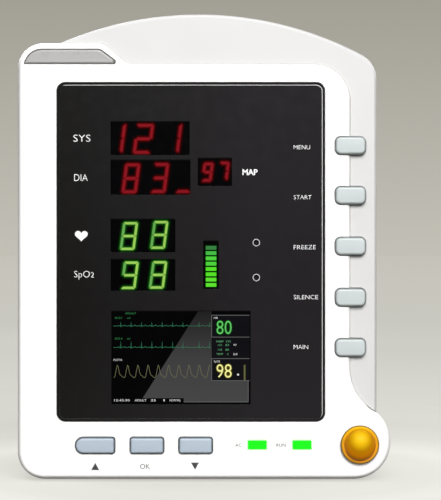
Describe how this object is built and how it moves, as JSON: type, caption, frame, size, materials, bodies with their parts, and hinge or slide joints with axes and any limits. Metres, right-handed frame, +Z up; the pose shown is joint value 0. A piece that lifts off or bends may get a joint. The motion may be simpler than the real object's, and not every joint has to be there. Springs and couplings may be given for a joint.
{
  "type": "patient monitor",
  "caption": "Bench-top vital-signs monitor with lit displays, a small colour screen, side and bottom keys, a push-and-turn knob and a domed carrying grip.",
  "frame": {"origin": "under the middle of the monitor's box, on the surface that it stands on", "axes": "+Z up, +X to the right of someone facing the screen, front faces -Y"},
  "size_m": [0.1986, 0.115, 0.2482],
  "materials": {
    "white_plastic": "fine moulded satin, semi-gloss",
    "grey_plastic": "fine moulded grain",
    "dark_panel": "polished acrylic",
    "foam": "matte foam",
    "lamp_lens": "frosted lens",
    "green_light": "lit light pipe",
    "orange_knob": "glossy moulded",
    "red_display": "tinted filter over red segments",
    "green_display": "tinted filter over green segments",
    "bar_display": "tinted filter over green bars",
    "colour_screen": "glossy screen",
    "circuit_board": "solder mask",
    "silicone": "matte",
    "zinc_steel": "zinc plated",
    "bright_metal": "nickel plated",
    "brass": "turned",
    "battery_wrap": "shrink wrap",
    "black_rubber": "matte",
    "black_plastic": "moulded satin",
    "panel_plastic": "moulded grain",
    "blue_plastic": "moulded",
    "key_grey": "satin",
    "key_blue": "satin"
  },
  "bodies": {
    "root": {"ac_light_pipe": "green_light", "air_pump": "zinc_steel", "alarm_board": "circuit_board", "alarm_lens": "lamp_lens", "battery_pack": "battery_wrap", "bottom_key_board": "circuit_board", "bottom_key_mat": "silicone", "chassis_plate": "zinc_steel", "cuff_socket": "bright_metal", "dia_display": "red_display", "display_board": "circuit_board", "display_window": "dark_panel", "encoder_body": "zinc_steel", "foot_1": "black_rubber", "foot_2": "black_rubber", "foot_3": "black_rubber", "foot_4": "black_rubber", "front_bezel": "white_plastic", "ground_stud": "brass", "housing_screw_1": "bright_metal", "housing_screw_2": "bright_metal", "housing_screw_3": "bright_metal", "housing_screw_4": "bright_metal", "lcd_module": "colour_screen", "level_bargraph": "bar_display", "main_board": "circuit_board", "mains_inlet": "black_plastic", "map_display": "red_display", "mount_plate": "zinc_steel", "network_port": "bright_metal", "power_supply": "zinc_steel", "pressure_tube": "black_rubber", "pulse_display": "green_display", "rear_housing": "grey_plastic", "rear_panel": "panel_plastic", "release_valve": "brass", "run_light_pipe": "green_light", "sensor_panel": "panel_plastic", "side_key_board": "circuit_board", "side_key_mat": "silicone", "speaker": "black_plastic", "spo2_display": "green_display", "spo2_socket": "blue_plastic", "sys_display": "red_display", "temperature_socket": "black_plastic", "window_gasket": "foam"},
    "menu_key": {"menu_key": "key_grey"},
    "start_key": {"start_key": "key_grey"},
    "freeze_key": {"freeze_key": "key_grey"},
    "silence_key": {"silence_key": "key_grey"},
    "main_key": {"main_key": "key_grey"},
    "up_key": {"up_key": "key_blue"},
    "ok_key": {"ok_key": "key_blue"},
    "down_key": {"down_key": "key_blue"},
    "knob_push": {"encoder_plunger": "black_plastic"},
    "knob": {"nav_knob": "orange_knob", "encoder_shaft": "zinc_steel"},
    "battery_door": {"battery_door": "grey_plastic"},
    "power_switch": {"power_switch": "black_plastic"},
    "fuse_drawer": {"fuse_drawer": "black_plastic"}
  },
  "joints": [
    {"name": "menu_key_press", "type": "slide", "parent": "root", "child": "menu_key", "axis": [0, 1, 0], "range_m": [0, 0.0008], "stiffness_N_per_m": 900, "springref_m": -0.001},
    {"name": "start_key_press", "type": "slide", "parent": "root", "child": "start_key", "axis": [0, 1, 0], "range_m": [0, 0.0008], "stiffness_N_per_m": 900, "springref_m": -0.001},
    {"name": "freeze_key_press", "type": "slide", "parent": "root", "child": "freeze_key", "axis": [0, 1, 0], "range_m": [0, 0.0008], "stiffness_N_per_m": 900, "springref_m": -0.001},
    {"name": "silence_key_press", "type": "slide", "parent": "root", "child": "silence_key", "axis": [0, 1, 0], "range_m": [0, 0.0008], "stiffness_N_per_m": 900, "springref_m": -0.001},
    {"name": "main_key_press", "type": "slide", "parent": "root", "child": "main_key", "axis": [0, 1, 0], "range_m": [0, 0.0008], "stiffness_N_per_m": 900, "springref_m": -0.001},
    {"name": "up_key_press", "type": "slide", "parent": "root", "child": "up_key", "axis": [0, 1, 0], "range_m": [0, 0.0008], "stiffness_N_per_m": 900, "springref_m": -0.001},
    {"name": "ok_key_press", "type": "slide", "parent": "root", "child": "ok_key", "axis": [0, 1, 0], "range_m": [0, 0.0008], "stiffness_N_per_m": 900, "springref_m": -0.001},
    {"name": "down_key_press", "type": "slide", "parent": "root", "child": "down_key", "axis": [0, 1, 0], "range_m": [0, 0.0008], "stiffness_N_per_m": 900, "springref_m": -0.001},
    {"name": "knob_press", "type": "slide", "parent": "root", "child": "knob_push", "axis": [0, 1, 0], "range_m": [0, 0.0008], "stiffness_N_per_m": 1500, "springref_m": -0.001},
    {"name": "knob_turn", "type": "hinge", "parent": "knob_push", "child": "knob", "pos_m": [0.0825, -0.05, 0.0196], "axis": [0, -1, 0], "continuous": true},
    {"name": "battery_door_hinge", "type": "hinge", "parent": "root", "child": "battery_door", "pos_m": [0.09075, 0.018, 0.06745], "axis": [0, 1, 0], "range_deg": [0, 100]},
    {"name": "power_switch_tilt", "type": "hinge", "parent": "root", "child": "power_switch", "pos_m": [-0.015, 0.049, 0.042], "axis": [-1, 0, 0], "range_deg": [0, 18]},
    {"name": "fuse_drawer_slide", "type": "slide", "parent": "root", "child": "fuse_drawer", "axis": [0, 1, 0], "range_m": [0, 0.01]}
  ]
}
